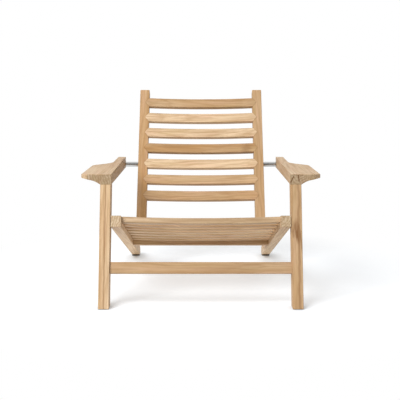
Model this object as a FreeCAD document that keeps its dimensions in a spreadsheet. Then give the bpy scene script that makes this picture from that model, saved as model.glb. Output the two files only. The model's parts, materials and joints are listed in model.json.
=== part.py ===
import FreeCAD, Part
import math
import os
import re
import Sketcher

# Folding slatted deck chair in teak.
# Frame: X to the right of someone facing the chair, Y to the rear, Z up, millimetres and degrees.
# The origin lies on the floor, under the middle of the chair's box.
# Three frames nest inside each other: the front frame (legs, stretcher, armrests, rod) outside,
# the seat frame (rails, seat slats) inside it, and the back frame (stiles, back slats) innermost.

SIZES = {
    # front frame
    "leg_spacing": 615.0,
    "leg_width": 34.0,
    "leg_depth": 42.0,
    "leg_lean": 16.0,
    "pivot_height": 263.5,
    "stretcher_tall": 37.0,
    "stretcher_thick": 28.0,
    "stretcher_drop": 147.5,
    "stretcher_tenon": 20.0,
    "glide_thick": 2.0,
    "glide_radius": 14.0,
    "glide_stem_radius": 4.0,
    "glide_stem_length": 15.0,
    # armrests
    "arm_height": 417.5,
    "arm_front_thick": 33.0,
    "arm_rear_thick": 42.0,
    "arm_knee_out": 18.0,
    "arm_knee_thick": 22.0,
    "arm_knee_round": 60.0,
    "arm_edge_thick": 11.0,
    "arm_lap": 2.0,
    "arm_splay": 18.0,
    "arm_width": 103.5,
    "arm_flare": 5.5,
    "arm_neck_width": 31.0,
    "arm_toe_width": 20.0,
    "arm_toe_length": 11.0,
    "arm_paddle_length": 322.0,
    "arm_shoulder_length": 90.0,
    "arm_toe_round": 3.0,
    "arm_corner_round": 55.0,
    "arm_shoulder_round": 150.0,
    "arm_end_round": 2.0,
    "arm_edge_round": 1.5,
    "arm_tail": 20.0,
    "dowel_radius": 5.0,
    "dowel_offset": 8.0,
    "dowel_in_leg": 24.0,
    "dowel_in_arm": 20.0,
    # rod
    "rod_drop": 28.5,
    "rod_radius": 10.0,
    "rod_grip": 20.0,
    "rod_pin_radius": 2.5,
    "rod_pin_inset": 11.0,
    "rod_pin_length": 27.0,
    # seat frame
    "rail_width": 33.0,
    "rail_depth": 36.5,
    "seat_slope": 18.3,
    "heel_length": 34.0,
    "heel_round": 14.0,
    "pad_thick": 5.0,
    "pad_inset": 1.0,
    "seat_setback": 18.0,
    "seat_pitch": 67.0,
    "seat_sag": 5.0,
    "slat_thick": 19.0,
    "seat_slat_width": 36.0,
    "slat_round": 2.0,
    "tenon_length": 12.0,
    "tenon_thick": 9.0,
    "tenon_width": 24.0,
    "cross_width": 28.0,
    "cross_tall": 19.5,
    "cross_gap": 4.0,
    # back frame
    "pivot_span": 518.0,
    "stile_width": 38.0,
    "stile_depth": 36.0,
    "stile_length": 665.5,
    "stile_end_round": 3.0,
    "stile_foot_radius": 11.5,
    "stile_foot_taper": 40.0,
    "back_lean": 29.4,
    "back_slat_height": 39.0,
    "back_slat_thick": 17.0,
    "back_slat_round": 1.5,
    "back_pitch": 69.0,
    "back_top_margin": 58.5,
    "back_sag": 11.0,
    "back_slat_lap": 14.5,
    "nose_length": 14.0,
    "nose_tip": 5.0,
    "slat_proud": 1.5,
    "rod_inset": -2.0,
    "notch_pitch": 34.0,
    "notch_slant": 20.0,
    # hardware
    "bolt_radius": 5.0,
    "bolt_head_radius": 10.0,
    "bolt_head_thick": 4.0,
    "bolt_recess": 5.0,
    "insert_radius": 7.0,
    "insert_length": 20.0,
    "washer_radius": 14.0,
    "washer_thick": 1.5,
    "spacer_radius": 13.0,
    "spacer_thick": 4.0,
    "screw_radius": 2.2,
    "screw_head_radius": 4.3,
    "screw_head_thick": 3.0,
    "screw_recess": 4.0,
    "screw_bite": 10.0,
    "screw_drop": 7.0,
    # finish and fits
    "edge_round": 1.5,
    "fit": 0.08,
    "glue_gap": 0.1,
    "head_clearance": 0.5,
    "notch_clearance": 0.6,
    "cut_margin": 10.0,
}

SEAT_SLATS = 7
BACK_SLATS = 7
NOTCHES = 3

# Places worked out from the sizes, each in terms of the sizes and of the places above it.
LAYOUT = {
    "leg_inner": "leg_spacing / 2 - leg_width / 2",
    "leg_outer": "leg_spacing / 2 + leg_width / 2",
    "rail_outer": "leg_inner - washer_thick",
    "rail_inner": "rail_outer - rail_width",
    "stile_outer": "rail_inner - spacer_thick",
    "stile_inner": "stile_outer - stile_width",
    "rail_half": "rail_depth / 2",
    "stile_half": "stile_depth / 2",
    "leg_half": "leg_depth / 2",
    # reach of the chair to the front and to the rear of the point where the leg axes meet the floor
    "front_reach": "glide_thick * tan(leg_lean) - leg_half / cos(leg_lean)",
    "pivot_reach": "pivot_height * tan(leg_lean)",
    "hinge_reach": "pivot_reach + pivot_span * cos(seat_slope)",
    "rear_reach": "hinge_reach + stile_length * sin(back_lean) + stile_half * cos(back_lean)",
    "foot_y": "-(front_reach + rear_reach) / 2",
    # front pivot, back hinge and rod in the chair's own frame
    "pivot_y": "foot_y + pivot_reach",
    "hinge_y": "foot_y + hinge_reach",
    "hinge_z": "pivot_height - pivot_span * sin(seat_slope)",
    "rod_depth": "stile_half - rod_inset",
    "rod_z": "arm_height - rod_drop",
    "rod_reach": "(rod_z - hinge_z + rod_depth * sin(back_lean)) / cos(back_lean)",
    "rod_y": "hinge_y + rod_depth * cos(back_lean) + rod_reach * sin(back_lean)",
    # leg, measured along and across its own axis from the front pivot
    "leg_toe": "(glide_thick - pivot_height - leg_half * sin(leg_lean)) / cos(leg_lean)",
    "leg_heel": "(glide_thick - pivot_height + leg_half * sin(leg_lean)) / cos(leg_lean)",
    "arm_under": "arm_height - arm_front_thick",
    "leg_top_front": "(arm_under - pivot_height - leg_half * sin(leg_lean)) / cos(leg_lean)",
    "arm_y": "pivot_y - leg_half * cos(leg_lean) + leg_top_front * sin(leg_lean)",
    "arm_length": "rod_y + arm_tail - arm_y",
    "arm_fall": "(arm_rear_thick - arm_front_thick) / arm_length",
    "leg_top_level": "arm_under - pivot_height - arm_fall * (pivot_y - arm_y)",
    "leg_top_turn": "leg_half * (sin(leg_lean) - arm_fall * cos(leg_lean))",
    "leg_top_rear": "(leg_top_level + leg_top_turn) / (cos(leg_lean) + arm_fall * sin(leg_lean))",
    "dowel_y": "foot_y + arm_under * tan(leg_lean)",
    # armrest, measured from its inner front corner
    "arm_x": "leg_inner - arm_lap",
    "arm_wing": "arm_lap + leg_width",
    "arm_knee": "arm_wing + arm_knee_out",
    "arm_wing_rise": "(arm_knee_thick - arm_edge_thick) / (arm_width - arm_knee)",
    "arm_neck_y": "arm_paddle_length + arm_shoulder_length",
    "arm_neck_x": "arm_splay * arm_neck_y / arm_length + arm_neck_width",
    "arm_rod_y": "rod_y - arm_y",
    "arm_rod_x": "arm_splay * arm_rod_y / arm_length",
    "rod_end": "arm_x + arm_rod_x + rod_grip",
    "rod_pin_x": "arm_x + arm_rod_x + rod_pin_inset",
    "rod_pin_z": "rod_z - rod_pin_length / 2",
    # rail, measured along and across its own axis from the front pivot
    "heel_start": "(pivot_height - pad_thick - rail_half * cos(seat_slope)) / sin(seat_slope)",
    "heel_end": "heel_start + heel_length * cos(seat_slope)",
    "heel_rise": "heel_length * sin(seat_slope) - rail_half",
    "rail_top_end": "heel_end - (rail_half - heel_rise) * tan(seat_slope)",
    "pad_y": "pivot_y + heel_start * cos(seat_slope) - rail_half * sin(seat_slope)",
    "seat_first": "seat_setback - leg_half + seat_slat_width / 2",
    "seat_last_end": f"seat_first + seat_pitch * {SEAT_SLATS - 1} + seat_slat_width / 2",
    "cross_start": "seat_last_end + cross_gap",
    "seat_curve": "(rail_inner * rail_inner + seat_sag * seat_sag) / (2 * seat_sag)",
    "seat_curve_z": "rail_half - seat_sag + seat_curve",
    "tenon_z": "rail_half - slat_thick / 2",
    # back slats, measured across the stiles from the hinge
    "slat_tip": "stile_inner + back_slat_lap",
    "slat_front": "-stile_half - slat_proud",
    "slat_seat": "slat_front + back_slat_thick",
    "back_curve": "(slat_tip * slat_tip + back_sag * back_sag) / (2 * back_sag)",
    "back_curve_y": "slat_front + back_sag - back_curve",
    "slat_shoulder": "stile_inner - head_clearance",
    "nose_start": "slat_tip - nose_length",
    "back_first": "stile_length - back_top_margin",
    "screw_x": "stile_inner + back_slat_lap / 2",
    # bolts
    "head_face": "leg_outer - bolt_recess",
    "back_head_face": "rail_outer - bolt_recess",
}

doc = FreeCAD.newDocument("DeckChair")
sheet = doc.addObject("Spreadsheet::Sheet", "Sizes")
layout = doc.addObject("App::VarSet", "Layout")
parts = {}


def bound(text):
    """Write an expression with each size and place spelled as its owner's property."""
    def owner(match):
        word = match.group(0)
        if word in SIZES:
            return f"Sizes.{word}"
        if word in LAYOUT:
            return f"Layout.{word}"
        return word
    return re.sub(r"[a-z_]+", owner, str(text))


def value(text):
    """Work an expression out to a plain number."""
    return float(layout.evalExpression(bound(text)))


def fill_sheet():
    for row, (name, size) in enumerate(SIZES.items(), 1):
        sheet.set(f"A{row}", name)
        sheet.set(f"B{row}", str(size))
        sheet.setAlias(f"B{row}", name)
    doc.recompute()
    for name, text in LAYOUT.items():
        layout.addProperty("App::PropertyFloat", name)
        layout.setExpression(name, bound(text))
        doc.recompute()


def place(item, x="0", y="0", z="0", tilt=None):
    """Put an item at x, y, z, leaning back by tilt about the X axis."""
    turn = FreeCAD.Rotation()
    if tilt:
        turn = FreeCAD.Rotation(FreeCAD.Vector(-1, 0, 0), value(tilt))
    item.Placement = FreeCAD.Placement(FreeCAD.Vector(value(x), value(y), value(z)), turn)
    item.setExpression("Placement.Base.x", bound(x))
    item.setExpression("Placement.Base.y", bound(y))
    item.setExpression("Placement.Base.z", bound(z))
    if tilt:
        item.setExpression("Placement.Rotation.Angle", bound(tilt))


def new_body(name):
    body = doc.addObject("PartDesign::Body", name)
    body.Label = name
    return body


def origin_feature(body, role):
    return next(item for item in body.Origin.OriginFeatures if item.Role == role)


def new_sketch(body, plane, shift="0", turn=None):
    """Start a sketch on an origin plane, moved along its normal by shift and turned about its X axis."""
    sketch = body.newObject("Sketcher::SketchObject", body.Label + "_sketch")
    sketch.AttachmentSupport = [(origin_feature(body, plane), "")]
    sketch.MapMode = "FlatFace"
    spin = FreeCAD.Rotation()
    if turn:
        spin = FreeCAD.Rotation(FreeCAD.Vector(-1, 0, 0), value(turn))
    sketch.AttachmentOffset = FreeCAD.Placement(FreeCAD.Vector(0, 0, value(shift)), spin)
    sketch.setExpression("AttachmentOffset.Base.z", bound(shift))
    if turn:
        sketch.setExpression("AttachmentOffset.Rotation.Angle", bound(turn))
    return sketch


def tie(sketch, kind, text, *ends):
    """Add a driving constraint whose value follows an expression."""
    number = sketch.addConstraint(Sketcher.Constraint(kind, *ends, value(text)))
    sketch.setExpression(f"Constraints[{number}]", bound(text))


def tie_point(sketch, line, end, across, up):
    """Hold one end of a line at a place given by two expressions."""
    tie(sketch, "DistanceX", across, -1, 1, line, end)
    tie(sketch, "DistanceY", up, -1, 1, line, end)


def vector(across, up):
    return FreeCAD.Vector(value(across), value(up), 0)


def draw_polygon(sketch, points):
    """Draw a closed outline of straight lines through points given as pairs of expressions."""
    first = sketch.GeometryCount
    count = len(points)
    for number, point in enumerate(points):
        following = points[(number + 1) % count]
        sketch.addGeometry(Part.LineSegment(vector(*point), vector(*following)), False)
    for number in range(count):
        following = first + (number + 1) % count
        sketch.addConstraint(Sketcher.Constraint("Coincident", first + number, 2, following, 1))
    for number, point in enumerate(points):
        tie_point(sketch, first + number, 1, *point)


def draw_rectangle(sketch, left, right, low, high):
    draw_polygon(sketch, [(left, low), (right, low), (right, high), (left, high)])


def draw_circle(sketch, across, up, radius):
    circle = Part.Circle(vector(across, up), FreeCAD.Vector(0, 0, 1), value(radius))
    number = sketch.addGeometry(circle, False)
    tie_point(sketch, number, 3, across, up)
    tie(sketch, "Radius", radius, number)


def pad(body, sketch, length, midplane=False, backwards=False):
    feature = body.newObject("PartDesign::Pad", body.Label + "_pad")
    feature.Profile = sketch
    feature.Midplane = midplane
    feature.Reversed = backwards
    feature.setExpression("Length", bound(length))
    doc.recompute()


def pocket(body, sketch, length=None, backwards=False):
    """Cut a sketch into the body by a length, or right through both ways where none is given."""
    before = body.Shape.Volume
    feature = body.newObject("PartDesign::Pocket", body.Label + "_pocket")
    feature.Profile = sketch
    if length:
        feature.Reversed = backwards
        feature.setExpression("Length", bound(length))
    else:
        feature.Type = "ThroughAll"
        feature.Midplane = True
    doc.recompute()
    if not body.Shape.Volume < before:
        raise RuntimeError(f"a cut in {body.Label} removes nothing")


def along(axis):
    """Choose straight edges that run along an axis, given as a vector."""
    def chosen(edge):
        if not isinstance(edge.Curve, Part.Line):
            return False
        return edge.Curve.Direction.cross(axis).Length < 1e-6
    return chosen


def at_corner(x, y):
    """Choose upright edges at a corner of an outline."""
    def chosen(edge):
        start = edge.Vertexes[0].Point
        near = FreeCAD.Vector(start.x - value(x), start.y - value(y), 0).Length < 1e-3
        return near and along(AXIS_Z)(edge)
    return chosen


def fillet(body, radius, chosen):
    base = body.Tip
    names = [f"Edge{number}" for number, edge in enumerate(base.Shape.Edges, 1) if chosen(edge)]
    feature = body.newObject("PartDesign::Fillet", body.Label + "_round")
    feature.Base = (base, names)
    feature.setExpression("Radius", bound(radius))
    doc.recompute()


AXIS_X = FreeCAD.Vector(1, 0, 0)
AXIS_Y = FreeCAD.Vector(0, 1, 0)
AXIS_Z = FreeCAD.Vector(0, 0, 1)


def turned(name, axis, profile):
    """Turn a profile of (along, radius) pairs about the X, Y or Z axis of a new body."""
    body = new_body(name)
    sketch = new_sketch(body, "XZ_Plane" if axis == "Z" else "XY_Plane")
    if axis == "X":
        draw_polygon(sketch, profile)
    else:
        draw_polygon(sketch, [(radius, reach) for reach, radius in profile])
    feature = body.newObject("PartDesign::Revolution", name + "_turn")
    feature.Profile = sketch
    feature.ReferenceAxis = (origin_feature(body, f"{axis}_Axis"), [""])
    feature.Angle = 360.0
    doc.recompute()
    return body


def ring(start, end, inner, outer):
    return [(start, inner), (end, inner), (end, outer), (start, outer)]


def stepped_pin(start, step, end, thick, thin):
    """Profile of a headed pin: thick from start to step, thin from there to end."""
    return [(start, "0"), (end, "0"), (end, thin), (step, thin), (step, thick), (start, thick)]


def cylinder(name, radius, height, x, y, z):
    item = doc.addObject("Part::Cylinder", name)
    item.setExpression("Radius", bound(radius))
    item.setExpression("Height", bound(height))
    place(item, x, y, z)
    return item


def group(name, items):
    item = doc.addObject("Part::Compound", name)
    item.Links = items
    return item


def drilled(name, base, tools):
    item = doc.addObject("Part::Cut", name)
    item.Base = base
    item.Tool = group(name + "_drills", tools)
    doc.recompute()
    return item


def mirrored(name, source):
    item = doc.addObject("Part::Mirroring", name)
    item.Source = source
    item.Normal = AXIS_X
    return item


def keep(name, item):
    item.Label = name
    parts[name] = item


def keep_pair(name, right):
    """Keep a right-hand piece and its mirror image on the left as two sub-parts."""
    keep(name + "_right", right)
    keep(name + "_left", mirrored(name + "_left", right))


def keep_group(name, rights):
    """Keep right-hand fasteners and their mirror images together as one sub-part."""
    lefts = [mirrored(f"{item.Name}_other", item) for item in rights]
    keep(name, group(name, rights + lefts))


def build_legs():
    """Leaning legs: bored at the front pivot, mortised for the stretcher, drilled at both ends."""
    leg = new_body("front_leg_blank")
    side = new_sketch(leg, "YZ_Plane", "leg_inner")
    draw_polygon(side, [("-leg_half", "leg_toe"), ("leg_half", "leg_heel"),
                        ("leg_half", "leg_top_rear"), ("-leg_half", "leg_top_front")])
    pad(leg, side, "leg_width")
    fillet(leg, "edge_round", along(AXIS_Z))
    bore = new_sketch(leg, "YZ_Plane", "leg_inner")
    draw_circle(bore, "0", "0", "bolt_radius + fit")
    pocket(leg, bore)
    recess = new_sketch(leg, "YZ_Plane", "leg_outer")
    draw_circle(recess, "0", "0", "bolt_head_radius + head_clearance")
    pocket(leg, recess, "bolt_recess")
    mortise = new_sketch(leg, "YZ_Plane", "leg_inner")
    draw_rectangle(mortise, "-stretcher_thick / 4 - glue_gap", "stretcher_thick / 4 + glue_gap",
                   "-stretcher_drop - stretcher_tall / 3 - glue_gap",
                   "-stretcher_drop + stretcher_tall / 3 + glue_gap")
    pocket(leg, mortise, "stretcher_tenon + glue_gap", backwards=True)
    place(leg, "0", "pivot_y", "pivot_height", "leg_lean")
    dowel_holes = arm_dowels("leg_dowel_hole", "glue_gap")
    stem_hole = cylinder("leg_stem_hole", "glide_stem_radius + glue_gap",
                         "glide_thick + glide_stem_length + glue_gap", "leg_spacing / 2", "foot_y", "0")
    keep_pair("front_leg", drilled("front_leg_right", leg, dowel_holes + [stem_hole]))


def arm_dowels(name, gap):
    """The two dowels on the right leg, or with a gap the holes they sit in."""
    return [
        cylinder(f"{name}_{word}", f"dowel_radius + {gap}", f"dowel_in_leg + dowel_in_arm + 2 * {gap}",
                 f"leg_spacing / 2 {sign} dowel_offset", "dowel_y", f"arm_under - dowel_in_leg - {gap}")
        for word, sign in (("inner", "-"), ("outer", "+"))
    ]


def build_front_fittings():
    keep_group("arm_dowels", arm_dowels("arm_dowel", "0"))
    glide = turned("front_glide_right", "Z", stepped_pin(
        "0", "glide_thick", "glide_thick + glide_stem_length", "glide_radius", "glide_stem_radius"))
    place(glide, "leg_spacing / 2", "foot_y", "0")
    keep_pair("front_glide", glide)


def build_stretcher():
    """Bar between the legs with a tenon at each end."""
    bar = new_body("front_stretcher")
    side = new_sketch(bar, "YZ_Plane")
    draw_rectangle(side, "-stretcher_thick / 2", "stretcher_thick / 2",
                   "-stretcher_drop - stretcher_tall / 2", "-stretcher_drop + stretcher_tall / 2")
    pad(bar, side, "2 * leg_inner", midplane=True)
    fillet(bar, "edge_round", along(AXIS_X))
    tenon = new_sketch(bar, "YZ_Plane")
    draw_rectangle(tenon, "-stretcher_thick / 4", "stretcher_thick / 4",
                   "-stretcher_drop - stretcher_tall / 3", "-stretcher_drop + stretcher_tall / 3")
    pad(bar, tenon, "2 * (leg_inner + stretcher_tenon)", midplane=True)
    place(bar, "0", "pivot_y", "pivot_height", "leg_lean")
    keep("front_stretcher", bar)


def build_armrests():
    """Paddle armrest: thick over the leg, thin at its outer edge, deeper at the rear for the rod."""
    arm = new_body("armrest_blank")
    outline = new_sketch(arm, "XY_Plane")
    toe = ("arm_width - arm_flare - arm_toe_width", "0")
    tip = ("arm_width - arm_flare", "arm_toe_length")
    corner = ("arm_width", "arm_paddle_length")
    neck = ("arm_neck_x", "arm_neck_y")
    tail_outer = ("arm_splay + arm_neck_width", "arm_length")
    tail_inner = ("arm_splay", "arm_length")
    draw_polygon(outline, [("0", "0"), toe, tip, corner, neck, tail_outer, tail_inner])
    pad(arm, outline, "arm_rear_thick", backwards=True)
    fillet(arm, "arm_toe_round", at_corner(*toe))
    fillet(arm, "arm_toe_round", at_corner(*tip))
    fillet(arm, "arm_corner_round", at_corner(*corner))
    fillet(arm, "arm_shoulder_round", at_corner(*neck))
    fillet(arm, "arm_end_round", at_corner(*tail_outer))
    under = new_sketch(arm, "YZ_Plane")
    far = "arm_length + cut_margin"
    deep = "-arm_rear_thick - cut_margin"
    draw_polygon(under, [("-cut_margin", "-arm_front_thick + arm_fall * cut_margin"),
                         (far, f"-arm_front_thick - arm_fall * ({far})"), (far, deep), ("-cut_margin", deep)])
    pocket(arm, under)
    wing = new_sketch(arm, "XZ_Plane", "0", "atan(arm_fall)")
    out = "arm_width + cut_margin"
    draw_polygon(wing, [("arm_wing", "-arm_front_thick"), ("arm_knee", "-arm_knee_thick"),
                        (out, f"arm_wing_rise * ({out} - arm_knee) - arm_knee_thick"),
                        (out, deep), ("arm_wing", deep)])
    pocket(arm, wing)
    fillet(arm, "arm_knee_round", at_knee)
    fillet(arm, "arm_edge_round", lambda edge: edge.BoundBox.ZMin > -1e-6)
    socket = new_sketch(arm, "YZ_Plane")
    draw_circle(socket, "arm_rod_y", "rod_z - arm_height", "rod_radius + glue_gap")
    pocket(arm, socket, "arm_rod_x + rod_grip + glue_gap", backwards=True)
    place(arm, "arm_x", "arm_y", "arm_height")
    drills = arm_dowels("arm_dowel_hole", "glue_gap") + [rod_pin("arm_pin_hole", "glue_gap")]
    keep_pair("armrest", drilled("armrest_right", arm, drills))


def at_knee(edge):
    """Choose the long edge under an armrest where its wing turns flatter."""
    return all(abs(vertex.X - value("arm_knee")) < 1e-3 for vertex in edge.Vertexes)


def rod_pin(name, gap):
    """The upright pin through the right end of the rod, or with a gap the hole it sits in."""
    return cylinder(name, f"rod_pin_radius + {gap}", f"rod_pin_length + 2 * {gap}",
                    "rod_pin_x", "rod_y", f"rod_pin_z - {gap}")


def build_rod():
    """Stainless rod across the rear ends of the armrests, held by an upright pin at each end."""
    rod = turned("back_rod_blank", "X", [("-rod_end", "0"), ("rod_end", "0"),
                                         ("rod_end", "rod_radius"), ("-rod_end", "rod_radius")])
    place(rod, "0", "rod_y", "rod_z")
    hole = rod_pin("rod_pin_hole", "glue_gap")
    keep("back_rod", drilled("back_rod", rod, [hole, mirrored("rod_pin_hole_other", hole)]))
    keep_group("rod_pins", [rod_pin("rod_pin", "0")])


def seat_place(number):
    """Middle of a seat slat along the rail."""
    return f"seat_first + seat_pitch * {number}"


def build_rails():
    """Sloping rails that end in heels on the floor, mortised for the slats and the cross rail."""
    rail = new_body("seat_rail_right")
    side = new_sketch(rail, "YZ_Plane", "rail_inner")
    top_end = ("rail_top_end", "rail_half")
    draw_polygon(side, [("-leg_half", "-rail_half"), ("heel_start", "-rail_half"),
                        ("heel_end", "heel_rise"), top_end, ("-leg_half", "rail_half")])
    pad(rail, side, "rail_width")
    fillet(rail, "heel_round", lambda edge: along(AXIS_X)(edge) and near_point(edge, *top_end))
    fillet(rail, "edge_round", along(AXIS_Y))
    socket = new_sketch(rail, "YZ_Plane", "rail_outer")
    draw_circle(socket, "0", "0", "insert_radius + glue_gap")
    pocket(rail, socket, "insert_length + glue_gap")
    bore = new_sketch(rail, "YZ_Plane", "rail_outer")
    draw_circle(bore, "pivot_span", "0", "bolt_radius + fit")
    pocket(rail, bore)
    recess = new_sketch(rail, "YZ_Plane", "rail_outer")
    draw_circle(recess, "pivot_span", "0", "bolt_head_radius + head_clearance")
    pocket(rail, recess, "bolt_recess")
    mortises = new_sketch(rail, "YZ_Plane", "rail_inner")
    for number in range(SEAT_SLATS):
        middle = seat_place(number)
        draw_rectangle(mortises, f"{middle} - tenon_width / 2 - glue_gap",
                       f"{middle} + tenon_width / 2 + glue_gap",
                       "tenon_z - tenon_thick / 2 - glue_gap", "tenon_z + tenon_thick / 2 + glue_gap")
    draw_rectangle(mortises, "cross_start + cross_width / 4 - glue_gap",
                   "cross_start + 3 * cross_width / 4 + glue_gap",
                   "-rail_half + cross_tall / 4 - glue_gap", "-rail_half + 3 * cross_tall / 4 + glue_gap")
    pocket(rail, mortises, "tenon_length + glue_gap", backwards=True)
    place(rail, "0", "pivot_y", "pivot_height", "seat_slope")
    keep_pair("seat_rail", rail)


def near_point(edge, across, up):
    start = edge.Vertexes[0].Point
    return FreeCAD.Vector(0, start.y - value(across), start.z - value(up)).Length < 1e-3


def draw_arc(sketch, middle, radius, half, side):
    """Draw an arc about (0, middle) across both sides of the second axis, above for side 1, below for -1."""
    rise = side * math.sqrt(value(radius) ** 2 - value(half) ** 2)
    start = math.atan2(rise, side * value(half))
    end = math.atan2(rise, -side * value(half))
    circle = Part.Circle(vector("0", middle), AXIS_Z, value(radius))
    number = sketch.addGeometry(Part.ArcOfCircle(circle, start, end), False)
    tie_point(sketch, number, 3, "0", middle)
    tie(sketch, "Radius", radius, number)
    tie(sketch, "DistanceX", f"{side} * ({half})", -1, 1, number, 1)
    tie(sketch, "DistanceX", f"{-side} * ({half})", -1, 1, number, 2)
    return number


def draw_join(sketch, first, last, corners):
    """Join two ends of drawn geometry by straight lines over the given corners."""
    stops = [sketch.getPoint(*first)]
    stops += [vector(*corner) for corner in corners]
    stops += [sketch.getPoint(*last)]
    ends = [first]
    for start, stop in zip(stops, stops[1:]):
        number = sketch.addGeometry(Part.LineSegment(start, stop), False)
        sketch.addConstraint(Sketcher.Constraint("Coincident", *ends[-1], number, 1))
        ends.append((number, 2))
    sketch.addConstraint(Sketcher.Constraint("Coincident", *ends[-1], *last))
    for end, corner in zip(ends[1:], corners):
        tie_point(sketch, *end, *corner)


def draw_hollow(sketch, middle, radius, thick, tip, side, seat=None):
    """Draw a hollowed slat: an arc band about (0, middle), with the ends squared off at tip.

    For a seat of (start, level) the outer face is planed flat at that level from start to tip.
    """
    reach = seat[0] if seat else tip
    inner = draw_arc(sketch, middle, radius, tip, side)
    outer = draw_arc(sketch, middle, f"{radius} + {thick}", reach, side)
    for end, sign in ((1, side), (2, -side)):
        corners = []
        if seat:
            corners = [(f"{sign} * {tip}", seat[1]), (f"{sign} * ({reach})", seat[1])]
        draw_join(sketch, (inner, end), (outer, end), corners)


def curved(*radii):
    """Choose the long edges of a slat that follow arcs of the given radii."""
    def chosen(edge):
        if not isinstance(edge.Curve, Part.Circle):
            return False
        return any(abs(edge.Curve.Radius - value(radius)) < 1e-3 for radius in radii)
    return chosen


def build_seat_slats():
    """Hollowed slats, flush with the rail tops at their ends, with a tenon at each end."""
    for number in range(SEAT_SLATS):
        name = f"seat_slat_{number + 1}"
        slat = new_body(name)
        shift = f"-({seat_place(number)})"
        band = new_sketch(slat, "XZ_Plane", shift)
        draw_hollow(band, "seat_curve_z", "seat_curve", "slat_thick", "rail_inner", -1)
        pad(slat, band, "seat_slat_width", midplane=True)
        fillet(slat, "slat_round", curved("seat_curve", "seat_curve + slat_thick"))
        tenons = new_sketch(slat, "XZ_Plane", shift)
        for sign in ("", "-"):
            draw_rectangle(tenons, f"{sign}(rail_inner - tenon_length)", f"{sign}(rail_inner + tenon_length)",
                           "tenon_z - tenon_thick / 2", "tenon_z + tenon_thick / 2")
        pad(slat, tenons, "tenon_width", midplane=True)
        place(slat, "0", "pivot_y", "pivot_height", "seat_slope")
        keep(name, slat)


def build_cross_rail():
    """Low bar behind the last seat slat, out of the way of the folding back."""
    bar = new_body("seat_cross_rail")
    side = new_sketch(bar, "YZ_Plane")
    draw_rectangle(side, "cross_start", "cross_start + cross_width", "-rail_half", "cross_tall - rail_half")
    pad(bar, side, "2 * rail_inner", midplane=True)
    fillet(bar, "edge_round", along(AXIS_X))
    tenon = new_sketch(bar, "YZ_Plane")
    draw_rectangle(tenon, "cross_start + cross_width / 4", "cross_start + 3 * cross_width / 4",
                   "cross_tall / 4 - rail_half", "3 * cross_tall / 4 - rail_half")
    pad(bar, tenon, "2 * (rail_inner + tenon_length)", midplane=True)
    place(bar, "0", "pivot_y", "pivot_height", "seat_slope")
    keep("seat_cross_rail", bar)


def build_pads():
    """Rubber pads between the rails' heels and the floor."""
    foot = new_body("rear_foot_pad_right")
    side = new_sketch(foot, "YZ_Plane", "rail_inner + pad_inset")
    draw_rectangle(side, "pad_y", "pad_y + heel_length", "0", "pad_thick")
    pad(foot, side, "rail_width - 2 * pad_inset")
    keep_pair("rear_foot_pad", foot)


def back_place(number):
    """Middle of a back slat along the stile, counted from the top."""
    return f"back_first - back_pitch * {number}"


def build_stiles():
    """Stiles with a round foot, grooves for the slats in front and notches for the rod behind."""
    stile = new_body("back_stile_right")
    side = new_sketch(stile, "YZ_Plane", "stile_inner")
    draw_polygon(side, [("-stile_foot_radius", "0"), ("stile_foot_radius", "0"),
                        ("stile_half", "stile_foot_taper"), ("stile_half", "stile_length"),
                        ("-stile_half", "stile_length"), ("-stile_half", "stile_foot_taper")])
    pad(stile, side, "stile_width")
    foot = new_sketch(stile, "YZ_Plane", "stile_inner")
    draw_circle(foot, "0", "0", "stile_foot_radius")
    pad(stile, foot, "stile_width")
    fillet(stile, "stile_end_round", at_stile_top)
    fillet(stile, "edge_round", along(AXIS_Z))
    socket = new_sketch(stile, "YZ_Plane", "stile_outer")
    draw_circle(socket, "0", "0", "insert_radius + glue_gap")
    pocket(stile, socket, "insert_length + glue_gap")
    grooves = new_sketch(stile, "XZ_Plane", "stile_half")
    holes = new_sketch(stile, "XZ_Plane", "-stile_half")
    heads = new_sketch(stile, "XZ_Plane", "-stile_half")
    for number in range(BACK_SLATS):
        middle = back_place(number)
        draw_groove(grooves, middle, "back_slat_height / 2 + glue_gap", "nose_tip / 2 + glue_gap")
        draw_circle(holes, "screw_x", f"{middle} - screw_drop", "screw_radius + glue_gap")
        draw_circle(heads, "screw_x", f"{middle} - screw_drop", "screw_head_radius + glue_gap")
    pocket(stile, grooves, "slat_seat + stile_half")
    pocket(stile, holes)
    pocket(stile, heads, "screw_recess", backwards=True)
    seats = new_sketch(stile, "YZ_Plane", "stile_inner")
    mouths = new_sketch(stile, "YZ_Plane", "stile_inner")
    for number in range(NOTCHES):
        draw_notch(seats, mouths, f"rod_reach - notch_pitch * {number}")
    pocket(stile, seats)
    pocket(stile, mouths)
    place(stile, "0", "hinge_y", "hinge_z", "back_lean")
    keep_pair("back_stile", stile)


def at_stile_top(edge):
    """Choose the edges across the depth of a stile at its upper end."""
    return along(AXIS_Y)(edge) and edge.BoundBox.ZMin > value("rod_reach")


def draw_groove(sketch, level, half, blunt):
    """Draw a slat's groove: straight sides half apart from its level, then a nose with a blunt tip."""
    inner = "slat_tip - back_slat_height"
    shoulder = "nose_start + glue_gap"
    tip = "slat_tip + glue_gap"
    lower = [(inner, f"{level} - ({half})"), (shoulder, f"{level} - ({half})"), (tip, f"{level} - ({blunt})")]
    upper = [(tip, f"{level} + {blunt}"), (shoulder, f"{level} + {half}"), (inner, f"{level} + {half}")]
    draw_polygon(sketch, lower + upper)


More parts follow.
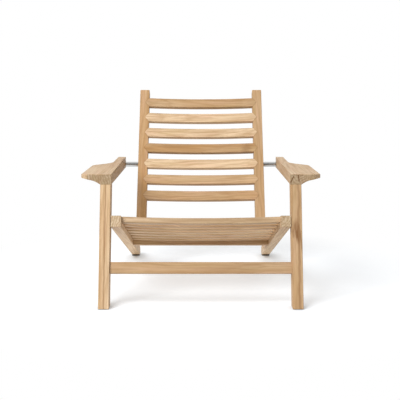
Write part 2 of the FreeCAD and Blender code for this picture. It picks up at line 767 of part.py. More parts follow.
def draw_notch(seats, mouths, level):
    """Draw a rod notch: its round seat in one sketch and its slanting mouth in another."""
    radius = "rod_radius + notch_clearance"
    draw_circle(seats, "rod_depth", level, radius)
    aside = f"({radius}) * sin(notch_slant)"
    above = f"({radius}) * cos(notch_slant)"
    out = "2 * cut_margin * cos(notch_slant)"
    down = "2 * cut_margin * sin(notch_slant)"
    draw_polygon(mouths, [(f"rod_depth + {aside}", f"{level} + {above}"),
                          (f"rod_depth + {aside} + {out}", f"{level} + {above} - {down}"),
                          (f"rod_depth - {aside} + {out}", f"{level} - {above} - {down}"),
                          (f"rod_depth - {aside}", f"{level} - {above}")])


def build_back_slats():
    """Hollowed slats with pointed noses, let into the stiles and screwed from behind."""
    screws = []
    for number in range(BACK_SLATS):
        name = f"back_slat_{number + 1}"
        middle = back_place(number)
        slat = new_body(name)
        band = new_sketch(slat, "XY_Plane", middle)
        draw_hollow(band, "back_curve_y", "back_curve", "back_slat_thick", "slat_tip", 1,
                    ("slat_shoulder", "slat_seat"))
        pad(slat, band, "back_slat_height", midplane=True)
        corners = new_sketch(slat, "XZ_Plane")
        for sign in ("", "-"):
            for way in ("+", "-"):
                edge = f"{middle} {way} back_slat_height / 2"
                draw_polygon(corners, [(f"{sign}nose_start", edge), (f"{sign}slat_tip", edge),
                                       (f"{sign}slat_tip", f"{middle} {way} nose_tip / 2")])
        pocket(slat, corners)
        fillet(slat, "back_slat_round", curved("back_curve"))
        holes = new_sketch(slat, "XZ_Plane", "-slat_seat")
        for sign in ("", "-"):
            draw_circle(holes, f"{sign}screw_x", f"{middle} - screw_drop", "screw_radius + glue_gap")
        pocket(slat, holes, "screw_bite + glue_gap", backwards=True)
        place(slat, "0", "hinge_y", "hinge_z", "back_lean")
        keep(name, slat)
        screws.append(back_screw(f"back_screw_{number + 1}", f"{middle} - screw_drop"))
    keep_group("back_slat_screws", screws)


def back_screw(name, level):
    """A screw through the right stile at a level along it; its body turns about the stile's depth."""
    head = "stile_half - screw_recess + screw_head_thick"
    screw = turned(name, "Y", stepped_pin(head, "stile_half - screw_recess", "slat_seat - screw_bite",
                                          "screw_head_radius", "screw_radius"))
    place(screw, "screw_x", f"hinge_y + ({level}) * sin(back_lean)",
          f"hinge_z + ({level}) * cos(back_lean)", "back_lean")
    return screw


def keep_turned(name, y, z, profile):
    """Keep a pair of turned fittings, one on each side, on an axis across the chair."""
    fitting = turned(name + "_one", "X", profile)
    place(fitting, "0", y, z)
    keep_group(name, [fitting])


def build_pivots():
    """Bolts, washers, spacers and threaded inserts of the two pairs of pivots."""
    front = ("pivot_y", "pivot_height")
    rear = ("hinge_y", "hinge_z")
    inner = "bolt_radius + glue_gap"
    keep_turned("front_pivot_bolts", *front, stepped_pin(
        "head_face + bolt_head_thick", "head_face", "rail_outer - insert_length",
        "bolt_head_radius", "bolt_radius"))
    keep_turned("front_pivot_washers", *front, ring("rail_outer", "leg_inner", inner, "washer_radius"))
    keep_turned("front_pivot_inserts", *front, ring(
        "rail_outer - insert_length", "rail_outer", inner, "insert_radius"))
    keep_turned("back_pivot_bolts", *rear, stepped_pin(
        "back_head_face + bolt_head_thick", "back_head_face", "stile_outer - insert_length",
        "bolt_head_radius", "bolt_radius"))
    keep_turned("back_pivot_spacers", *rear, ring("stile_outer", "rail_inner", inner, "spacer_radius"))
    keep_turned("back_pivot_inserts", *rear, ring(
        "stile_outer - insert_length", "stile_outer", inner, "insert_radius"))


def check_and_write():
    """Stop at any feature that failed, then write each sub-part to its own file."""
    doc.recompute()
    for item in doc.Objects:
        if "Invalid" in item.State or "Error" in item.State:
            raise RuntimeError(f"{item.Label} did not compute")
    os.makedirs("parts", exist_ok=True)
    for name, item in parts.items():
        if item.Shape.isNull() or not item.Shape.isValid():
            raise RuntimeError(f"{name} has no valid shape")
        item.Shape.exportStep(f"parts/{name}.step")


fill_sheet()
build_legs()
build_front_fittings()
build_stretcher()
build_armrests()
build_rod()
build_rails()
build_seat_slats()
build_cross_rail()
build_pads()
build_stiles()
build_back_slats()
build_pivots()
check_and_write()
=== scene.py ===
import json
import math
import random
from collections import namedtuple

import bpy
import numpy as np
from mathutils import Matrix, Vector


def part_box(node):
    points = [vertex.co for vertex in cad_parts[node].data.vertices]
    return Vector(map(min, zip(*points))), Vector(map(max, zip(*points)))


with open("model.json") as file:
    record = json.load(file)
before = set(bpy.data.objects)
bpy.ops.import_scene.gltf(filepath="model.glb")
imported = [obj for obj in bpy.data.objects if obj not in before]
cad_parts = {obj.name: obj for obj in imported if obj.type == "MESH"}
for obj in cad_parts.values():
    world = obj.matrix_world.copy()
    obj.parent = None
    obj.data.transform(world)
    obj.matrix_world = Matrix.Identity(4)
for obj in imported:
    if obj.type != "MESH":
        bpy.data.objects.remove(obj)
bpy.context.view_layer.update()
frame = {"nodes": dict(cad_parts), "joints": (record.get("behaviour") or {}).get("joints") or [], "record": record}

# Looks of the folding deck chair: oiled teak, satin stainless steel, rubber and nylon.
# All lengths are metres in the part's own frame: X across the chair, Y to the rear, Z up.

SEED = 11

# Shading of the frame's meshes
SMOOTH_ANGLE = math.radians(32)
WELD_DISTANCE = 1e-5
LEVEL_WEIGHT = 100

# Camera, where the photograph was taken from: straight in front of the chair, tipped slightly down
IMAGE_WIDTH_PX = 400
FOCAL_PX = 775.0
SENSOR_MM = 36.0
CAMERA_HEIGHT = 0.6785
CAMERA_PITCH = math.radians(7.9)
CAMERA_TO_FEET = 2.393
CAMERA_SHIFT = -0.002

# Light: a soft box to the left, in front and above, a weak one behind, and even light from all round
LAMP_AIM = (0.0, 0.0, 0.35)
KEY_PLACE = (-2.2, -2.98, 3.71)
KEY_SIZE = 2.8
KEY_POWER = 290.0
FILL_PLACE = (1.6, 3.6, 2.4)
FILL_SIZE = 2.6
FILL_POWER = 65.0
AMBIENT = 0.21
WHITE = (1.0, 1.0, 1.0, 1.0)

# Floor as it is seen: its colour, its glow near the chair, the distances between which it turns
# plain white, and a painted contact shadow: how near a foot the glow is dimmed and the share of it left under the
# foot
FLOOR_HALF = 30.0
FLOOR_SEEN = (0.51, 0.535, 0.56, 1.0)
FLOOR_GLOW = 0.55
WHITE_FROM_TO = (0.6, 1.0)
CONTACT_SHADOW_REACH = 0.05
CONTACT_SHADOW_LEAST = 0.1
# Floor as it throws light back: its colour, its glow under the chair and the distances between
# which that glow fades
FLOOR_BOUNCE = (0.62, 0.62, 0.62, 1.0)
FLOOR_LIFT = 0.42
LIFT_FROM_TO = (0.3, 0.9)

# Dark cards that only shiny surfaces see: one stands behind the camera, one lies on the floor below it
CARD_COLOUR = (0.02, 0.02, 0.02, 1.0)
CARD_HALF = 4.0
CARD_BACK = -4.5
CARD_FRONT = -1.1
CARD_TOP = 4.5
CARD_LIFT = 0.004

# Ranges for numbers that are taken from one range to another
RISE = (0.0, 1.0)
FALL = (1.0, 0.0)
# Blender's socket numbers for a mix of two colours
MIX_FIRST = 6
MIX_SECOND = 7
MIX_RESULT = 2
# Vector operations that give a number
NUMBER_RESULTS = ("LENGTH", "DISTANCE", "DOT_PRODUCT")
# Middle level of a noise
NOISE_MIDDLE = 0.5
# Sockets of a surface that has no gloss
MATT = {"Roughness": 1.0, "Specular_IOR_Level": 0.0}

# A noise's scales along and across the fibres, per metre, its detail and how rough that detail is;
# the least roughness of a surface and how far it spreads above that; a bump's strength and depth
Noise = namedtuple("Noise", "along across detail roughness", defaults=(0.55,))
Rough = namedtuple("Rough", "least spread")
Bump = namedtuple("Bump", "strength depth")

# Teak: colours
TEAK_PALE = (0.76, 0.58, 0.385, 1.0)
TEAK_GOLD = (0.53, 0.31, 0.138, 1.0)
TEAK_DARK = (0.36, 0.20, 0.085, 1.0)
TEAK_PINK = (0.72, 0.46, 0.31, 1.0)
TEAK_OLIVE = (0.56, 0.42, 0.20, 1.0)
PORE_COLOUR = (0.28, 0.15, 0.07, 1.0)
KNOT_COLOUR = (0.26, 0.13, 0.055, 1.0)
END_COLOUR = (0.84, 0.88, 0.92, 1.0)
# painted shade: this colour darkens the edges of every piece
EDGE_SHADE_COLOUR = (0.62, 0.56, 0.48, 1.0)

# Teak: growth rings about the pith, which sway, taper along the log and are unevenly wide
RING_WIDTH = 0.0072
RING_TAPER = (0.045, 1.0, 1.0)
RING_SHADES = ((0.0, 0.25), (0.12, 0.0), (0.55, 0.15), (0.9, 1.0), (1.0, 0.25))
RING_SHARE = 0.32
END_RING_SHARE = 0.35
SWAY = Noise(3.0, 10.0, 2.0, 0.5)
SWAY_MIDDLE = (NOISE_MIDDLE, NOISE_MIDDLE, NOISE_MIDDLE)
SWAY_REACH = (0.0, 0.03, 0.03)
UNEVEN = Noise(1.0, 34.0, 2.0)
UNEVEN_RINGS = 2.4

# Teak: drifts of colour, streaks, fibres and pores, each with the levels between which it sets in
# and its share in the colour
BROAD = Noise(1.8, 22.0, 3.0)
DRIFT_FROM = (0.3, 0.7)
DRIFT_TO = (-0.3, 0.3)
BLUSH = Noise(5.0, 45.0, 2.0)
BLUSH_FADE = ((0.5, 0.0), (0.75, 1.0))
BLUSH_SHARE = 0.5
MOSS = Noise(4.0, 60.0, 2.0, 0.5)
MOSS_FADE = ((0.52, 0.0), (0.7, 1.0))
MOSS_SHARE = 0.45
STREAK = Noise(3.5, 150.0, 4.0, 0.6)
STREAK_FADE = ((0.42, 0.0), (0.68, 1.0))
STREAK_SHARE = 0.55
FIBRE = Noise(7.0, 330.0, 5.0, 0.65)
FIBRE_FADE = ((0.42, 0.0), (0.75, 1.0))
FIBRE_SHARE = 0.25
PORE = Noise(30.0, 1300.0, 2.0)
PORE_FADE = ((0.60, 0.0), (0.72, 1.0))
PORE_SHARE = 0.3
PORE_DEPTH = 0.8

# Teak: sawn ends, painted shade along the edges, and surface
END_FADE = ((0.9, 0.0), (0.97, 1.0))
EDGE_SHADE_REACH = 0.003
EDGE_SHADE_FADE = ((0.75, 1.0), (0.99, 0.0))
TEAK_ROUGH = Rough(0.42, 0.2)
TEAK_BUMP = Bump(0.25, 0.0005)
TEAK_SPECULAR = 0.2

# Dark marks in single pieces: where along and aside from the middle, how long and wide, how slanted
# and how strong
Mark = namedtuple("Mark", "along aside long wide slant strength")
NO_MARK = Mark(0.0, 0.0, 1.0, 1.0, 0.0, 0.0)
MARKS = {
    "front_leg_right": Mark(along=0.033, aside=0.001, long=0.11, wide=0.036, slant=0.18, strength=1.0),
    "back_slat_4": Mark(along=0.185, aside=0.0, long=0.055, wide=0.3, slant=0.0, strength=0.45),
}
MARK_RAGGED = Noise(25.0, 160.0, 3.0)
MARK_FADE = ((0.6, 1.0), (0.95, 0.0))

# Dark veins that run the length of single pieces: how far aside, how wide and how strong; then how far
# they waver and where they fade out, in widths
Vein = namedtuple("Vein", "aside width strength")
NO_VEIN = Vein(0.0, 1.0, 0.0)
VEINS = {
    "front_leg_left": Vein(aside=0.0, width=0.0032, strength=0.6),
    "front_leg_right": Vein(aside=0.006, width=0.0055, strength=0.5),
}
VEIN_WAVER = Noise(11.0, 0.0, 2.0)
VEIN_REACH = 3.5
VEIN_SOFT = (0.25, 1.0)

# Piece whose front end has opened in fine cracks, and each crack's two ends, aside and up from the
# middle of the piece
CRACKED = "armrest_right"
CRACKS = (
    ((-0.0419, 0.0132), (-0.0511, -0.0071)),
    ((-0.0267, 0.0205), (-0.0233, -0.0009)),
    ((-0.0460, 0.0200), (-0.0120, 0.0200)),
)
CRACK_WIDTH = 0.0026
CRACK_UNEVEN = Noise(0.0, 220.0, 3.0)
ACROSS_ONLY = (0.0, 1.0, 1.0)

# Logs: where the pith lies, aside and up from the piece's middle, or else how far off it is in a
# direction by chance, and the length of log in which a piece lies at a place by chance
PITHS = {
    "armrest_left": (0.35, 0.05),
    "armrest_right": (-0.026, 0.02),
}
PITH_RANGE = (0.05, 0.14)
LOG_LENGTH = 5.0

# How pale each piece is, from golden at 0 to pale at 1, and its brightness; the rest are chosen by
# chance within the ranges
Board = namedtuple("Board", "pale tone")
PALE_RANGE = (0.3, 0.8)
TONE_RANGE = (0.93, 1.02)
BOARDS = {
    "armrest_left": Board(0.75, 0.88),
    "armrest_right": Board(0.75, 0.92),
    "back_slat_1": Board(0.35, 0.94),
    "back_slat_2": Board(0.98, 1.06),
    "back_slat_3": Board(0.95, 1.07),
    "back_slat_4": Board(0.2, 0.95),
    "back_slat_5": Board(1.0, 1.1),
    "back_slat_6": Board(0.45, 1.0),
    "back_slat_7": Board(0.35, 0.96),
    "back_stile_left": Board(0.12, 0.97),
    "back_stile_right": Board(0.25, 0.96),
    "front_leg_left": Board(0.68, 1.03),
    "front_leg_right": Board(0.4, 0.98),
    "front_stretcher": Board(0.48, 0.9),
    "seat_rail_left": Board(1.0, 1.06),
    "seat_rail_right": Board(0.9, 1.0),
    "seat_slat_1": Board(0.95, 0.86),
}

# Steel
STEEL_DARK = (0.48, 0.48, 0.47, 1.0)
STEEL_LIGHT = (0.58, 0.575, 0.56, 1.0)
STEEL_BRUSHED = Noise(900.0, 30.0, 3.0)
STEEL_CLOUDY = Noise(25.0, 25.0, 3.0)
STEEL_ROUGH = Rough(0.08, 0.08)
STEEL_BUMP = Bump(0.04, 0.0001)

# Rubber and nylon
RUBBER_DARK = (0.012, 0.012, 0.012, 1.0)
RUBBER_LIGHT = (0.035, 0.034, 0.033, 1.0)
RUBBER_SPECKS = Noise(700.0, 700.0, 4.0)
RUBBER_ROUGH = Rough(0.6, 0.2)
RUBBER_BUMP = Bump(0.3, 0.0004)
NYLON_DARK = (0.05, 0.05, 0.05, 1.0)
NYLON_LIGHT = (0.09, 0.09, 0.088, 1.0)
NYLON_SPECKS = Noise(400.0, 400.0, 3.0)
NYLON_ROUGH = Rough(0.42, 0.15)
NYLON_BUMP = Bump(0.15, 0.0003)

# Directions, and the sine of the lean below which a piece counts as upright
ACROSS_CHAIR = Vector((1, 0, 0))
TO_REAR = Vector((0, 1, 0))
UP = Vector((0, 0, 1))
UPRIGHT_LIMIT = 0.1


class Graph:
    """Short calls for building the nodes of a tree."""

    def __init__(self, tree):
        self.tree = tree

    def add(self, kind, inputs, **settings):
        """Add a node, set its properties and give each named input a value or a link."""
        node = self.tree.nodes.new(kind)
        for key, setting in settings.items():
            setattr(node, key, setting)
        for key, source in inputs.items():
            self.feed(node.inputs[key], source)
        return node

    def feed(self, socket, source):
        if isinstance(source, bpy.types.NodeSocket):
            self.tree.links.new(source, socket)
        else:
            socket.default_value = source

    def math(self, operation, first, second=0.0, clamp=False):
        node = self.add("ShaderNodeMath", {0: first, 1: second}, operation=operation, use_clamp=clamp)
        return node.outputs[0]

    def times(self, first, second):
        return self.math("MULTIPLY", first, second)

    def vector(self, operation, first, second=(0.0, 0.0, 0.0)):
        """Arithmetic on vectors, which gives a number for a length, a distance or a dot product."""
        node = self.add("ShaderNodeVectorMath", {0: first, 1: second}, operation=operation)
        return node.outputs["Value" if operation in NUMBER_RESULTS else "Vector"]

    def remap(self, value, old, new=RISE):
        """A number taken from an old range to a new one and kept within it."""
        node = self.add("ShaderNodeMapRange", {
            "Value": value, "From Min": old[0], "From Max": old[1], "To Min": new[0], "To Max": new[1]})
        return node.outputs["Result"]

    def ramp(self, fac, stops):
        """Grey ramp through (position, level) stops."""
        node = self.add("ShaderNodeValToRGB", {"Fac": fac})
        bar = node.color_ramp.elements
        while len(bar) < len(stops):
            bar.new(0.5)
        for element, (position, level) in zip(bar, stops):
            element.position = position
            element.color = (level, level, level, 1.0)
        return node.outputs["Color"]

    def mix(self, fac, first, second, blend="MIX"):
        node = self.add("ShaderNodeMix", {"Factor": fac}, data_type="RGBA", blend_type=blend)
        self.feed(node.inputs[MIX_FIRST], first)
        self.feed(node.inputs[MIX_SECOND], second)
        return node.outputs[MIX_RESULT]


class Finish(Graph):
    """The nodes of a new material."""

    def __init__(self, name):
        self.material = bpy.data.materials.new(name)
        self.material.use_nodes = True
        super().__init__(self.material.node_tree)
        self.shader = self.tree.nodes["Principled BSDF"]

    def attribute(self, name, output="Vector"):
        return self.add("ShaderNodeAttribute", {}, attribute_name=name).outputs[output]

    def place(self, output="Object"):
        return self.add("ShaderNodeTexCoord", {}).outputs[output]

    def noise(self, vector, kind, output="Fac"):
        """Noise stretched by its kind's scales."""
        scaled = self.vector("MULTIPLY", vector, (kind.along, kind.across, kind.across))
        return self.add("ShaderNodeTexNoise", {
            "Vector": scaled, "Scale": 1.0, "Detail": kind.detail,
            "Roughness": kind.roughness}).outputs[output]

    def bump(self, height, bump):
        node = self.add("ShaderNodeBump", {
            "Height": height, "Strength": bump.strength, "Distance": bump.depth})
        self.feed(self.shader.inputs["Normal"], node.outputs["Normal"])

    def rough(self, level, rough):
        """Roughness that follows a level from 0 to 1."""
        return self.math("ADD", self.times(level, rough.spread), rough.least)

    def shade(self, **sockets):
        """Set or link the shader's own sockets and give the material."""
        for key, source in sockets.items():
            self.feed(self.shader.inputs[key.replace("_", " ")], source)
        return self.material


def teak():
    """Teak cut from a log: growth rings about a pith, long fibres, pores and a tone for each piece."""
    graph = Finish("teak")
    local = graph.attribute("local")
    bent = swayed_grain(graph)
    fibre = graph.noise(bent, FIBRE)
    pores = graph.ramp(graph.noise(bent, PORE), PORE_FADE)
    streak = graph.ramp(graph.noise(bent, STREAK), STREAK_FADE)
    end_grain = end_share(graph)
    ring_share = graph.math("ADD", graph.times(end_grain, END_RING_SHARE), RING_SHARE)
    rings = graph.times(ring_level(graph, bent), ring_share)
    ringed = graph.mix(rings, board_colour(graph, bent), TEAK_DARK)
    streaked = graph.mix(graph.times(streak, STREAK_SHARE), ringed, TEAK_DARK)
    fine = graph.mix(graph.times(graph.ramp(fibre, FIBRE_FADE), FIBRE_SHARE), streaked, TEAK_DARK)
    pored = graph.mix(graph.times(pores, PORE_SHARE), fine, PORE_COLOUR)
    marked = graph.mix(mark_share(graph, local), pored, KNOT_COLOUR)
    veined = graph.mix(vein_share(graph, local), marked, KNOT_COLOUR)
    cracked = graph.mix(graph.times(crack_share(graph, local), end_grain), veined, KNOT_COLOUR)
    ended = graph.mix(end_grain, cracked, END_COLOUR, "MULTIPLY")
    # painted shade: the edges are darkened
    edge_shaded = graph.mix(painted_edge_shade(graph), ended, EDGE_SHADE_COLOUR, "MULTIPLY")
    toned = graph.add("ShaderNodeHueSaturation", {"Color": edge_shaded, "Value": graph.attribute("tone", "Fac")})
    graph.bump(graph.math("SUBTRACT", fibre, graph.times(pores, PORE_DEPTH)), TEAK_BUMP)
    return graph.shade(Base_Color=toned.outputs["Color"], Roughness=graph.rough(fibre, TEAK_ROUGH),
                       Specular_IOR_Level=TEAK_SPECULAR)


def swayed_grain(graph):
    """Places in a piece's log, swayed a little so that no fibre runs dead straight."""
    grain = graph.attribute("grain")
    wander = graph.vector("SUBTRACT", graph.noise(grain, SWAY, "Color"), SWAY_MIDDLE)
    return graph.vector("ADD", grain, graph.vector("MULTIPLY", wander, SWAY_REACH))


def ring_level(graph, bent):
    """Darkness of the growth rings, from the distance to the pith."""
    radius = graph.vector("LENGTH", graph.vector("MULTIPLY", bent, RING_TAPER))
    drift = graph.times(graph.noise(bent, UNEVEN), UNEVEN_RINGS)
    count = graph.math("ADD", graph.math("DIVIDE", radius, RING_WIDTH), drift)
    return graph.ramp(graph.math("FRACT", count), RING_SHADES)


def board_colour(graph, bent):
    """Ground colour of a board between golden and pale, with rosy and olive drifts."""
    drift = graph.remap(graph.noise(bent, BROAD), DRIFT_FROM, DRIFT_TO)
    lightness = graph.math("ADD", graph.attribute("pale", "Fac"), drift, clamp=True)
    plain = graph.mix(lightness, TEAK_GOLD, TEAK_PALE)
    blush = graph.ramp(graph.noise(bent, BLUSH), BLUSH_FADE)
    rosy = graph.mix(graph.times(blush, BLUSH_SHARE), plain, TEAK_PINK)
    moss = graph.ramp(graph.noise(bent, MOSS, "Color"), MOSS_FADE)
    return graph.mix(graph.times(moss, MOSS_SHARE), rosy, TEAK_OLIVE)


def end_share(graph):
    """Share of end grain: 1 where a face is sawn across the fibres."""
    across = graph.vector("DOT_PRODUCT", graph.place("Normal"), graph.attribute("along"))
    return graph.ramp(graph.math("ABSOLUTE", across), END_FADE)


def mark_share(graph, local):
    """Share of knot colour: a ragged spot about the place that a piece's attributes give."""
    away = graph.vector("LENGTH", graph.attribute("mark_at"))
    ragged = graph.math("ADD", away, graph.noise(local, MARK_RAGGED))
    return graph.times(graph.ramp(ragged, MARK_FADE), graph.attribute("mark", "Fac"))


def vein_share(graph, local):
    """Share of knot colour: a thin wavering line down a veined piece."""
    waver = graph.math("SUBTRACT", graph.noise(local, VEIN_WAVER), NOISE_MIDDLE)
    shift = graph.times(waver, VEIN_REACH)
    aside = graph.math("ABSOLUTE", graph.math("SUBTRACT", graph.attribute("vein_at", "Fac"), shift))
    return graph.times(graph.remap(aside, VEIN_SOFT, FALL), graph.attribute("vein", "Fac"))


def crack_share(graph, local):
    """Share of knot colour: short uneven lines on the end of the cracked piece."""
    flat = graph.vector("MULTIPLY", local, ACROSS_ONLY)
    distances = [crack_distance(graph, flat, *crack) for crack in CRACKS]
    nearest = distances[0]
    for distance in distances[1:]:
        nearest = graph.math("MINIMUM", nearest, distance)
    uneven = graph.times(graph.noise(local, CRACK_UNEVEN), CRACK_WIDTH)
    line = graph.remap(nearest, (uneven, CRACK_WIDTH), FALL)
    return graph.times(line, graph.attribute("crack", "Fac"))


def crack_distance(graph, flat, first, last):
    """Distance from the straight line between a crack's two ends."""
    start = Vector((0, *first))
    run = Vector((0, *last)) - start
    apart = graph.vector("SUBTRACT", flat, start)
    along = graph.vector("DOT_PRODUCT", apart, run / run.length_squared)
    share = graph.add("ShaderNodeClamp", {"Value": along}).outputs["Result"]
    return graph.vector("DISTANCE", apart, graph.vector("MULTIPLY", run, share))


def painted_edge_shade(graph):
    """Share of the painted edge shade: the edges are painted a little darker than the faces."""
    true_normal = graph.add("ShaderNodeNewGeometry", {}).outputs["True Normal"]
    rounded = graph.add("ShaderNodeBevel", {"Radius": EDGE_SHADE_REACH}).outputs["Normal"]
    return graph.ramp(graph.vector("DOT_PRODUCT", rounded, true_normal), EDGE_SHADE_FADE)


def steel():
    """Satin stainless steel, brushed around the bar."""
    graph = Finish("steel")
    brushed = graph.noise(graph.place(), STEEL_BRUSHED)
    colour = graph.mix(graph.noise(graph.place(), STEEL_CLOUDY), STEEL_DARK, STEEL_LIGHT)
    graph.bump(brushed, STEEL_BUMP)
    return graph.shade(Base_Color=colour, Roughness=graph.rough(brushed, STEEL_ROUGH), Metallic=1.0)


def moulded(name, kind, dark, light, rough, bump):
    """A dark moulded surface with a faint speckled texture."""
    graph = Finish(name)
    specks = graph.noise(graph.place(), kind)
    graph.bump(specks, bump)
    return graph.shade(Base_Color=graph.mix(specks, dark, light), Roughness=graph.rough(specks, rough))


def middle(node):
    low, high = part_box(node)
    return (low + high) / 2


def joint_place(name):
    return Vector(next(joint["pos_m"] for joint in frame["joints"] if joint["name"] == name))


def grain_axis(node):
    """The way the fibres run: along each piece of wood."""
    if node.startswith("seat_rail"):
        return joint_place("back_fold") - joint_place("arm_drop")
    if node.startswith("front_leg"):
        foot = middle("front_glide_right")
        pivot = joint_place("arm_drop")
        return Vector((0, pivot.y - foot.y, pivot.z))
    if node.startswith("back_stile"):
        return middle("back_slat_1") - middle("back_slat_7")
    if node.startswith("armrest"):
        return TO_REAR
    if node == "arm_dowels":
        return UP
    return ACROSS_CHAIR


def log_axes(node):
    """Directions along a piece's fibres, aside from them and up."""
    along = grain_axis(node).normalized()
    aside = along.cross(UP)
    if aside.length < UPRIGHT_LIMIT:
        aside = ACROSS_CHAIR.copy()
    aside.normalize()
    return along, aside, aside.cross(along)


def set_numbers(mesh, name, values):
    """Store a number on each point of a mesh; a single value goes to every point."""
    numbers = np.broadcast_to(np.asarray(values, np.float32), len(mesh.vertices))
    attribute = mesh.attributes.new(name, "FLOAT", "POINT")
    attribute.data.foreach_set("value", numbers.ravel())


def set_vectors(mesh, name, values):
    """Store a vector on each point of a mesh; a single vector goes to every point."""
    vectors = np.broadcast_to(np.asarray(values, np.float32), (len(mesh.vertices), 3))
    attribute = mesh.attributes.new(name, "FLOAT_VECTOR", "POINT")
    attribute.data.foreach_set("vector", vectors.ravel())


def grow_wood(node, chance):
    """Store where each point of a piece lies in its own log, and the piece's tone and marks."""
    mesh = frame["nodes"][node].data
    places = np.array([vertex.co for vertex in mesh.vertices])
    axes = log_axes(node)
    local = (places - np.array(middle(node))) @ np.array(axes).T
    turn = chance.uniform(0, 2 * math.pi)
    far = chance.uniform(*PITH_RANGE)
    pith = PITHS.get(node, (far * math.cos(turn), far * math.sin(turn)))
    shift = np.array((chance.uniform(0, LOG_LENGTH), -pith[0], -pith[1]))
    by_chance = Board(chance.uniform(*PALE_RANGE), chance.uniform(*TONE_RANGE))
    board = BOARDS.get(node, by_chance)
    set_vectors(mesh, "grain", local + shift)
    set_vectors(mesh, "local", local)
    set_vectors(mesh, "along", axes[0])
    set_numbers(mesh, "pale", board.pale)
    set_numbers(mesh, "tone", board.tone)
    store_marks(mesh, node, local)


def store_marks(mesh, node, local):
    """Store where each point lies from its piece's dark mark, vein and cracks, and how strong these are."""
    mark = MARKS.get(node, NO_MARK)
    past = local[:, 0] - mark.along
    off = local[:, 1] - mark.aside + mark.slant * past
    set_vectors(mesh, "mark_at", np.column_stack((past / mark.long, off / mark.wide, np.zeros(len(local)))))
    set_numbers(mesh, "mark", mark.strength)
    vein = VEINS.get(node, NO_VEIN)
    set_numbers(mesh, "vein_at", (local[:, 1] - vein.aside) / vein.width)
    set_numbers(mesh, "vein", vein.strength)
    in_front = local[:, 0] < 0
    set_numbers(mesh, "crack", in_front * float(node == CRACKED))


def soften(item):
    """Shade round faces smoothly, keep real edges crisp and flat faces flat."""
    weld = item.modifiers.new("weld", "WELD")
    weld.merge_threshold = WELD_DISTANCE
    split = item.modifiers.new("split", "EDGE_SPLIT")
    split.split_angle = SMOOTH_ANGLE
    split.use_edge_sharp = False
    level = item.modifiers.new("level", "WEIGHTED_NORMAL")
    level.mode = "FACE_AREA"
    level.weight = LEVEL_WEIGHT
    item.data.polygons.foreach_set("use_smooth", [True] * len(item.data.polygons))


def dress_nodes():
    """Give each piece of the frame its material."""
    chance = random.Random(SEED)
    finishes = {
        "teak": teak(),
        "steel": steel(),
        "rubber": moulded("rubber", RUBBER_SPECKS, RUBBER_DARK, RUBBER_LIGHT, RUBBER_ROUGH, RUBBER_BUMP),
        "nylon": moulded("nylon", NYLON_SPECKS, NYLON_DARK, NYLON_LIGHT, NYLON_ROUGH, NYLON_BUMP),
    }
    slots = {part["node"]: part["material_slot"] for part in frame["record"]["subparts"]}
    for node in sorted(frame["nodes"]):
        item = frame["nodes"][node]
        item.data.materials.clear()
        item.data.materials.append(finishes[slots[node]])
        if slots[node] == "teak":
            grow_wood(node, chance)
        soften(item)


def seen_rays(graph):
    """1 for rays from the camera and from shiny or clear surfaces, 0 for light that spreads."""
    rays = graph.add("ShaderNodeLightPath", {})
    seen = rays.outputs["Is Camera Ray"]
    for output in ("Is Glossy Ray", "Is Transmission Ray"):
        seen = graph.math("MAXIMUM", seen, rays.outputs[output])
    return seen


def build_floor():
    """White floor that keeps a faint shadow: near the chair it glows and shows the light that falls on it, and a
    painted contact shadow dims the glow near the feet.
    """
    graph = Finish("floor")
    seen = seen_rays(graph)
    colour = graph.mix(seen, FLOOR_BOUNCE, FLOOR_SEEN)
    graph.shade(Base_Color=colour, **MATT)
    away = graph.vector("LENGTH", graph.place())
    lift = graph.remap(away, LIFT_FROM_TO, (FLOOR_LIFT, 0.0))
    # painted contact shadow: occlusion near the feet darkens the floor's glow
    contact_shadow = graph.add("ShaderNodeAmbientOcclusion", {"Distance": CONTACT_SHADOW_REACH}).outputs["AO"]
    glow = graph.remap(contact_shadow, RISE, (CONTACT_SHADOW_LEAST * FLOOR_GLOW, FLOOR_GLOW))
    level = graph.remap(seen, RISE, (lift, glow))
    near = graph.add("ShaderNodeEmission", {"Color": WHITE, "Strength": level})
    lit = graph.add("ShaderNodeAddShader", {0: graph.shader.outputs[0], 1: near.outputs[0]})
    white = graph.add("ShaderNodeEmission", {"Color": WHITE, "Strength": 1.0})
    share = graph.times(seen, graph.remap(away, WHITE_FROM_TO))
    blend = graph.add("ShaderNodeMixShader", {0: share, 1: lit.outputs[0], 2: white.outputs[0]})
    graph.feed(graph.tree.nodes["Material Output"].inputs["Surface"], blend.outputs[0])
    build_sheet("floor", (-FLOOR_HALF, 0), (FLOOR_HALF, 0), FLOOR_HALF, graph.material)


def build_sheet(name, near, far, half, material):
    """A flat sheet of the studio between two places, each Y and Z; half is its reach to each side."""
    corners = [(-half, *near), (half, *near), (half, *far), (-half, *far)]
    mesh = bpy.data.meshes.new(name)
    mesh.from_pydata(corners, [], [(0, 1, 2, 3)])
    mesh.materials.append(material)
    sheet = bpy.data.objects.new(name, mesh)
    bpy.context.scene.collection.objects.link(sheet)
    return sheet


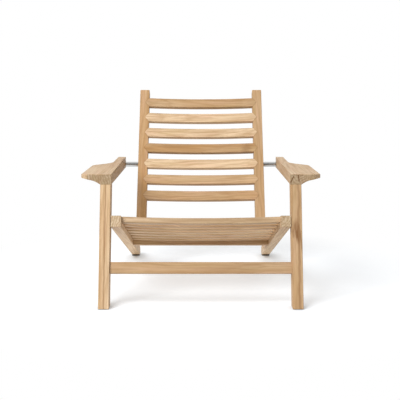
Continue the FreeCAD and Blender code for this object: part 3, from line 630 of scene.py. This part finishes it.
def build_cards():
    """Dark cards for the steel to mirror; they throw no shadow and give no light."""
    graph = Finish("card")
    graph.shade(Base_Color=CARD_COLOUR, **MATT)
    foot = (CARD_BACK, CARD_LIFT)
    for name, end in (("card_up", (CARD_BACK, CARD_TOP)), ("card_down", (CARD_FRONT, CARD_LIFT))):
        card = build_sheet(name, foot, end, CARD_HALF, graph.material)
        card.visible_camera = False
        card.visible_diffuse = False
        card.visible_transmission = False
        card.visible_shadow = False


def build_world():
    """Even light from all round; the camera and shiny surfaces see plain white."""
    world = bpy.data.worlds.new("studio")
    bpy.context.scene.world = world
    world.use_nodes = True
    graph = Graph(world.node_tree)
    graph.tree.nodes.clear()
    ambient = graph.add("ShaderNodeBackground", {"Color": WHITE, "Strength": AMBIENT})
    backdrop = graph.add("ShaderNodeBackground", {"Color": WHITE, "Strength": 1.0})
    choice = graph.add("ShaderNodeMixShader", {
        0: seen_rays(graph), 1: ambient.outputs[0], 2: backdrop.outputs[0]})
    graph.add("ShaderNodeOutputWorld", {"Surface": choice.outputs[0]})


def build_lamp(name, place, size, power):
    """A soft box turned to the chair, which shiny surfaces don't mirror."""
    lamp = bpy.data.lights.new(name, "AREA")
    lamp.shape = "SQUARE"
    lamp.size = size
    lamp.energy = power
    item = bpy.data.objects.new(name, lamp)
    item.location = place
    item.rotation_euler = (Vector(place) - Vector(LAMP_AIM)).to_track_quat("Z", "Y").to_euler()
    item.visible_glossy = False
    bpy.context.scene.collection.objects.link(item)


def build_camera():
    data = bpy.data.cameras.new("camera")
    data.sensor_fit = "HORIZONTAL"
    data.sensor_width = SENSOR_MM
    data.lens = FOCAL_PX / IMAGE_WIDTH_PX * SENSOR_MM
    data.shift_x = CAMERA_SHIFT
    camera = bpy.data.objects.new("camera", data)
    feet = middle("front_glide_right").y
    camera.location = (0, feet - CAMERA_TO_FEET, CAMERA_HEIGHT)
    camera.rotation_euler = (math.pi / 2 - CAMERA_PITCH, 0, 0)
    bpy.context.scene.collection.objects.link(camera)
    bpy.context.scene.camera = camera


bpy.context.scene.view_settings.view_transform = "Standard"
dress_nodes()
build_floor()
build_cards()
build_world()
build_lamp("key", KEY_PLACE, KEY_SIZE, KEY_POWER)
build_lamp("fill", FILL_PLACE, FILL_SIZE, FILL_POWER)
build_camera()
